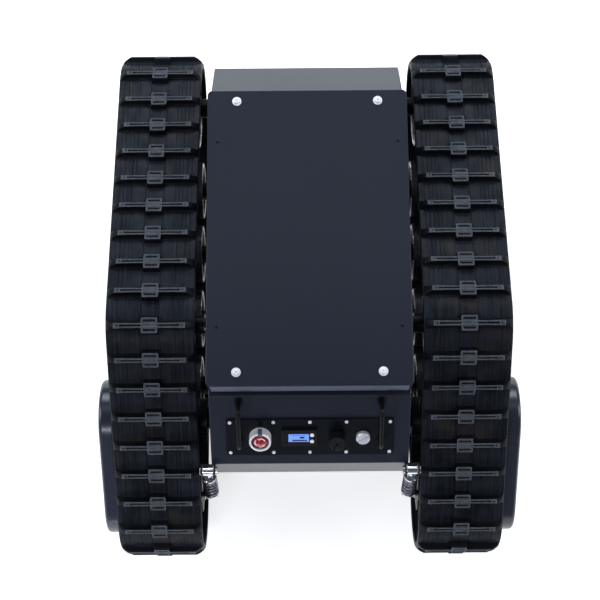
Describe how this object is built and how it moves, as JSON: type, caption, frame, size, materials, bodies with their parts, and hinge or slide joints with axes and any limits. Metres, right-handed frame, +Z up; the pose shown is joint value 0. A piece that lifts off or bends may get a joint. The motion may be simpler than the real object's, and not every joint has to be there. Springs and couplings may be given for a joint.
{
  "type": "tracked robot chassis",
  "caption": "Tracked mobile robot chassis: sheet-metal hull with sloped control panel, two rubber tracks on wheels, sprung rear swing arms and chain cases.",
  "frame": {"origin": "on the ground under the centre of the bounding box", "axes": "+Z up, +Y to the front, +X to the right-hand side seen from behind"},
  "size_m": [0.744, 0.9228, 0.4333],
  "materials": {
    "hull_paint": "satin dark blue-grey",
    "panel_paint": "satin",
    "case_paint": "satin",
    "black_metal": "satin black",
    "rubber": "moulded rubber",
    "steel": "zinc plated",
    "dark_steel": "oiled",
    "chrome": "polished",
    "aluminium": "machined",
    "wheel_metal": "machined",
    "black_plastic": "moulded",
    "red_plastic": "gloss",
    "white_plastic": "gloss",
    "blue_screen": "lit display",
    "webbing": "woven"
  },
  "bodies": {
    "root": {"chassis_tub": "hull_paint", "top_lid": "hull_paint", "lid_screws": "steel", "battery_pack": "black_plastic", "battery_strap": "webbing", "motor_controller": "aluminium", "drive_motor_left": "aluminium", "drive_motor_right": "aluminium", "control_panel": "panel_paint", "control_panel_screws": "steel", "panel_handles": "black_metal", "estop_guard": "chrome", "estop_base": "black_plastic", "battery_meter_case": "black_plastic", "battery_meter_screen": "blue_screen", "knob_bush": "steel", "fuse_socket": "black_plastic", "track_frame_left": "black_metal", "track_frame_right": "black_metal", "track_frame_bolts": "steel", "wheel_axles": "steel", "track_belt_left": "rubber", "track_belt_right": "rubber", "shock_upper_bolts": "steel"},
    "estop_plunger": {"estop_plunger": "steel"},
    "estop_button": {"estop_button": "red_plastic"},
    "meter_button_upper": {"meter_button_upper": "white_plastic"},
    "meter_button_lower": {"meter_button_lower": "white_plastic"},
    "power_knob": {"power_knob": "black_plastic"},
    "fuse_cap": {"fuse_cap": "chrome"},
    "swing_arm_left": {"swing_arm_left": "black_metal", "chain_case_left": "case_paint", "drive_chain_left": "dark_steel"},
    "drive_sprocket_left": {"drive_sprocket_left": "black_metal", "drive_axle_left": "steel"},
    "drive_shaft_left": {"drive_shaft_left": "steel"},
    "shock_body_left": {"shock_body_left": "chrome", "shock_spring_left": "dark_steel"},
    "shock_rod_left": {"shock_rod_left": "chrome"},
    "front_idler_left": {"front_idler_left": "wheel_metal"},
    "return_roller_left": {"return_roller_left": "wheel_metal"},
    "road_wheel_1_left": {"road_wheel_1_left": "wheel_metal"},
    "road_wheel_2_left": {"road_wheel_2_left": "wheel_metal"},
    "road_wheel_3_left": {"road_wheel_3_left": "wheel_metal"},
    "road_wheel_4_left": {"road_wheel_4_left": "wheel_metal"},
    "swing_arm_right": {"swing_arm_right": "black_metal", "chain_case_right": "case_paint", "drive_chain_right": "dark_steel"},
    "drive_sprocket_right": {"drive_sprocket_right": "black_metal", "drive_axle_right": "steel"},
    "drive_shaft_right": {"drive_shaft_right": "steel"},
    "shock_body_right": {"shock_body_right": "chrome", "shock_spring_right": "dark_steel"},
    "shock_rod_right": {"shock_rod_right": "chrome"},
    "front_idler_right": {"front_idler_right": "wheel_metal"},
    "return_roller_right": {"return_roller_right": "wheel_metal"},
    "road_wheel_1_right": {"road_wheel_1_right": "wheel_metal"},
    "road_wheel_2_right": {"road_wheel_2_right": "wheel_metal"},
    "road_wheel_3_right": {"road_wheel_3_right": "wheel_metal"},
    "road_wheel_4_right": {"road_wheel_4_right": "wheel_metal"}
  },
  "joints": [
    {"name": "estop_press", "type": "slide", "parent": "root", "child": "estop_plunger", "axis": [0, 0.7071, -0.7071], "range_m": [0, 0.005], "stiffness_N_per_m": 900, "springref_m": -0.001},
    {"name": "estop_twist", "type": "hinge", "parent": "estop_plunger", "child": "estop_button", "pos_m": [-0.086, -0.28386, 0.32502], "axis": [0, -0.7071, 0.7071], "range_deg": [-35, 0], "stiffness_Nm_per_rad": 0.05, "springref_deg": 2.86},
    {"name": "meter_button_upper_press", "type": "slide", "parent": "root", "child": "meter_button_upper", "axis": [0, 0.7071, -0.7071], "range_m": [0, 0.0008], "stiffness_N_per_m": 900, "springref_m": -0.0005},
    {"name": "meter_button_lower_press", "type": "slide", "parent": "root", "child": "meter_button_lower", "axis": [0, 0.7071, -0.7071], "range_m": [0, 0.0008], "stiffness_N_per_m": 900, "springref_m": -0.0005},
    {"name": "power_knob_turn", "type": "hinge", "parent": "root", "child": "power_knob", "pos_m": [0.0465, -0.28386, 0.32502], "axis": [0, -0.7071, 0.7071], "range_deg": [0, 90]},
    {"name": "fuse_cap_turn", "type": "hinge", "parent": "root", "child": "fuse_cap", "pos_m": [0.0915, -0.27679, 0.31795], "axis": [0, -0.7071, 0.7071], "range_deg": [0, 90]},
    {"name": "suspension_left", "type": "hinge", "parent": "root", "child": "swing_arm_left", "pos_m": [-0.2, -0.22344, 0.21716], "axis": [1, 0, 0], "range_deg": [-5, 3], "stiffness_Nm_per_rad": 400, "springref_deg": -1.15, "deforming": ["track_belt_left"]},
    {"name": "drive_left", "type": "hinge", "parent": "swing_arm_left", "child": "drive_sprocket_left", "pos_m": [-0.269, -0.34844, 0.11516], "axis": [1, 0, 0], "continuous": true},
    {"name": "motor_shaft_left", "type": "hinge", "parent": "root", "child": "drive_shaft_left", "pos_m": [-0.269, -0.22344, 0.21716], "axis": [1, 0, 0], "continuous": true},
    {"name": "front_idler_turn_left", "type": "hinge", "parent": "root", "child": "front_idler_left", "pos_m": [-0.269, 0.36514, 0.23216], "axis": [1, 0, 0], "continuous": true},
    {"name": "return_roller_turn_left", "type": "hinge", "parent": "root", "child": "return_roller_left", "pos_m": [-0.269, -0.07944, 0.34216], "axis": [1, 0, 0], "continuous": true},
    {"name": "road_wheel_1_turn_left", "type": "hinge", "parent": "root", "child": "road_wheel_1_left", "pos_m": [-0.269, 0.25156, 0.07816], "axis": [1, 0, 0], "continuous": true},
    {"name": "road_wheel_2_turn_left", "type": "hinge", "parent": "root", "child": "road_wheel_2_left", "pos_m": [-0.269, 0.12156, 0.07816], "axis": [1, 0, 0], "continuous": true},
    {"name": "road_wheel_3_turn_left", "type": "hinge", "parent": "root", "child": "road_wheel_3_left", "pos_m": [-0.269, -0.00844, 0.07816], "axis": [1, 0, 0], "continuous": true},
    {"name": "road_wheel_4_turn_left", "type": "hinge", "parent": "root", "child": "road_wheel_4_left", "pos_m": [-0.269, -0.13844, 0.07816], "axis": [1, 0, 0], "continuous": true},
    {"name": "shock_swing_left", "type": "hinge", "parent": "root", "child": "shock_body_left", "pos_m": [-0.179, -0.32544, 0.26616], "axis": [1, 0, 0], "range_deg": [-6, 4]},
    {"name": "shock_stroke_left", "type": "slide", "parent": "shock_body_left", "child": "shock_rod_left", "axis": [0, -0.2346, -0.9721], "range_m": [-0.012, 0.008], "deforming": ["shock_spring_left"]},
    {"name": "suspension_right", "type": "hinge", "parent": "root", "child": "swing_arm_right", "pos_m": [0.2, -0.22344, 0.21716], "axis": [1, 0, 0], "range_deg": [-5, 3], "stiffness_Nm_per_rad": 400, "springref_deg": -1.15, "deforming": ["track_belt_right"]},
    {"name": "drive_right", "type": "hinge", "parent": "swing_arm_right", "child": "drive_sprocket_right", "pos_m": [0.269, -0.34844, 0.11516], "axis": [1, 0, 0], "continuous": true},
    {"name": "motor_shaft_right", "type": "hinge", "parent": "root", "child": "drive_shaft_right", "pos_m": [0.269, -0.22344, 0.21716], "axis": [1, 0, 0], "continuous": true},
    {"name": "front_idler_turn_right", "type": "hinge", "parent": "root", "child": "front_idler_right", "pos_m": [0.269, 0.36514, 0.23216], "axis": [1, 0, 0], "continuous": true},
    {"name": "return_roller_turn_right", "type": "hinge", "parent": "root", "child": "return_roller_right", "pos_m": [0.269, -0.07944, 0.34216], "axis": [1, 0, 0], "continuous": true},
    {"name": "road_wheel_1_turn_right", "type": "hinge", "parent": "root", "child": "road_wheel_1_right", "pos_m": [0.269, 0.25156, 0.07816], "axis": [1, 0, 0], "continuous": true},
    {"name": "road_wheel_2_turn_right", "type": "hinge", "parent": "root", "child": "road_wheel_2_right", "pos_m": [0.269, 0.12156, 0.07816], "axis": [1, 0, 0], "continuous": true},
    {"name": "road_wheel_3_turn_right", "type": "hinge", "parent": "root", "child": "road_wheel_3_right", "pos_m": [0.269, -0.00844, 0.07816], "axis": [1, 0, 0], "continuous": true},
    {"name": "road_wheel_4_turn_right", "type": "hinge", "parent": "root", "child": "road_wheel_4_right", "pos_m": [0.269, -0.13844, 0.07816], "axis": [1, 0, 0], "continuous": true},
    {"name": "shock_swing_right", "type": "hinge", "parent": "root", "child": "shock_body_right", "pos_m": [0.179, -0.32544, 0.26616], "axis": [1, 0, 0], "range_deg": [-6, 4]},
    {"name": "shock_stroke_right", "type": "slide", "parent": "shock_body_right", "child": "shock_rod_right", "axis": [0, -0.2346, -0.9721], "range_m": [-0.012, 0.008], "deforming": ["shock_spring_right"]}
  ],
  "couplings": [
    {"joint": "motor_shaft_left", "follows": "drive_left", "ratio": 1},
    {"joint": "front_idler_turn_left", "follows": "drive_left", "ratio": 1.225},
    {"joint": "return_roller_turn_left", "follows": "drive_left", "ratio": 1.3067},
    {"joint": "road_wheel_1_turn_left", "follows": "drive_left", "ratio": 1.6066},
    {"joint": "road_wheel_2_turn_left", "follows": "drive_left", "ratio": 1.6066},
    {"joint": "road_wheel_3_turn_left", "follows": "drive_left", "ratio": 1.6066},
    {"joint": "road_wheel_4_turn_left", "follows": "drive_left", "ratio": 1.6066},
    {"joint": "shock_swing_left", "follows": "suspension_left", "ratio": 0.816},
    {"joint": "shock_stroke_left", "follows": "suspension_left", "m_per_rad": 0.1111},
    {"joint": "motor_shaft_right", "follows": "drive_right", "ratio": 1},
    {"joint": "front_idler_turn_right", "follows": "drive_right", "ratio": 1.225},
    {"joint": "return_roller_turn_right", "follows": "drive_right", "ratio": 1.3067},
    {"joint": "road_wheel_1_turn_right", "follows": "drive_right", "ratio": 1.6066},
    {"joint": "road_wheel_2_turn_right", "follows": "drive_right", "ratio": 1.6066},
    {"joint": "road_wheel_3_turn_right", "follows": "drive_right", "ratio": 1.6066},
    {"joint": "road_wheel_4_turn_right", "follows": "drive_right", "ratio": 1.6066},
    {"joint": "shock_swing_right", "follows": "suspension_right", "ratio": 0.816},
    {"joint": "shock_stroke_right", "follows": "suspension_right", "m_per_rad": 0.1111}
  ]
}
